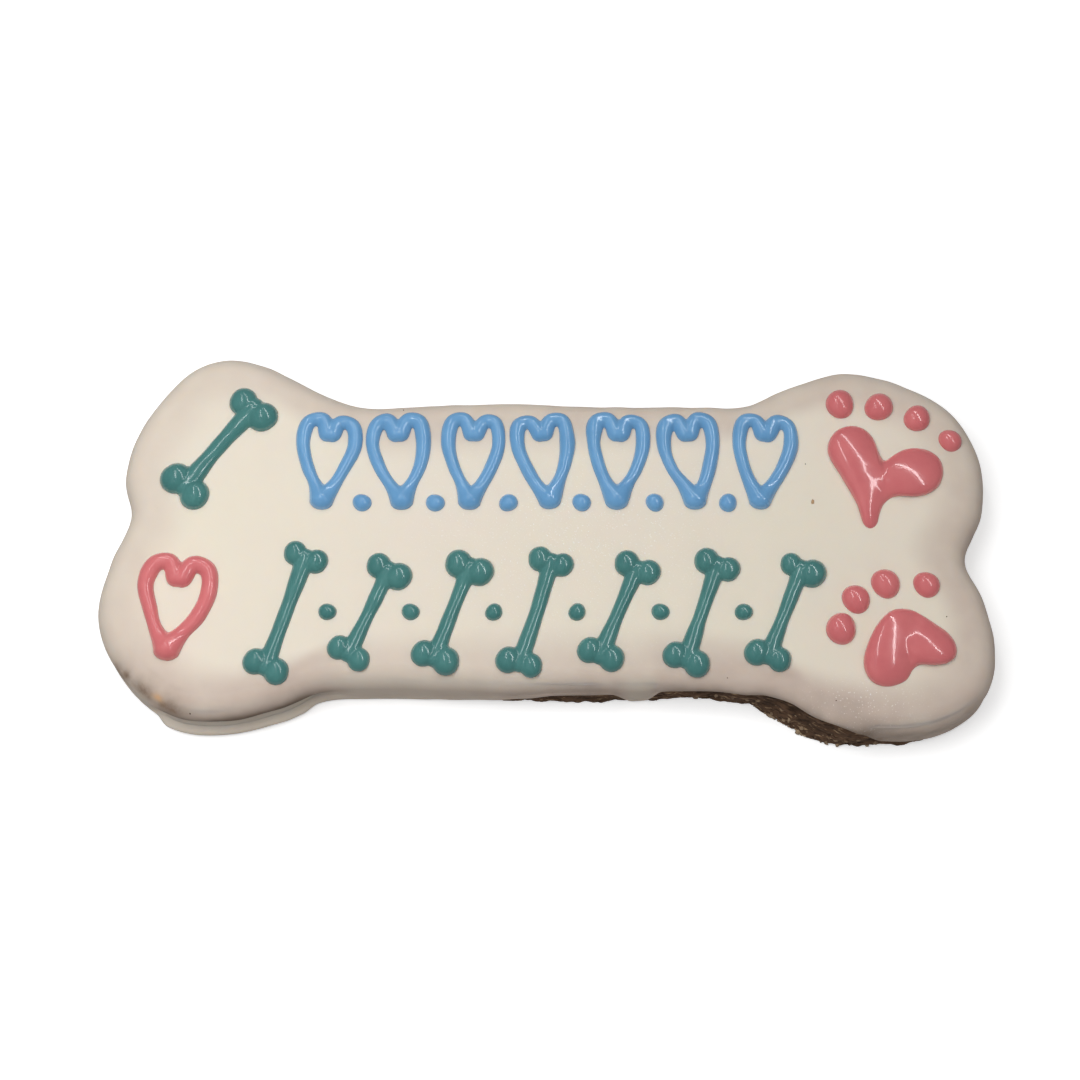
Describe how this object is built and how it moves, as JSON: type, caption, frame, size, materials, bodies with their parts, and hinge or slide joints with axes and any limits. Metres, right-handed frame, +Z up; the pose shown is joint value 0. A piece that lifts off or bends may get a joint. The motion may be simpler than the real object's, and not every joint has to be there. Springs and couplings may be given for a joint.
{
  "type": "dog biscuit",
  "caption": "Bone-shaped baked dog biscuit dipped in white icing, with coloured piped hearts, small bones and paw prints on top.",
  "frame": {"origin": "middle of the biscuit's flat underside, which is the bottom centre of its box", "axes": "+X along the bone's length towards the paw prints, +Y across it towards the row of hearts, +Z up out of the iced top"},
  "size_m": [0.1526, 0.0679, 0.0139],
  "materials": {
    "crumb": "matte baked wholegrain crumb",
    "icing": "smooth set icing, soft gloss",
    "blue_piping": "glossy piped icing",
    "green_piping": "glossy piped icing",
    "pink_piping": "glossy piped icing"
  },
  "bodies": {
    "root": {"biscuit": "crumb", "icing_coat": "icing", "upper_paw_pad": "pink_piping", "lower_paw_pad": "pink_piping", "large_heart": "pink_piping", "large_bone": "green_piping", "heart_1": "blue_piping", "heart_2": "blue_piping", "heart_3": "blue_piping", "heart_4": "blue_piping", "heart_5": "blue_piping", "heart_6": "blue_piping", "heart_7": "blue_piping", "bone_1": "green_piping", "bone_2": "green_piping", "bone_3": "green_piping", "bone_4": "green_piping", "bone_5": "green_piping", "bone_6": "green_piping", "bone_7": "green_piping"}
  },
  "joints": []
}
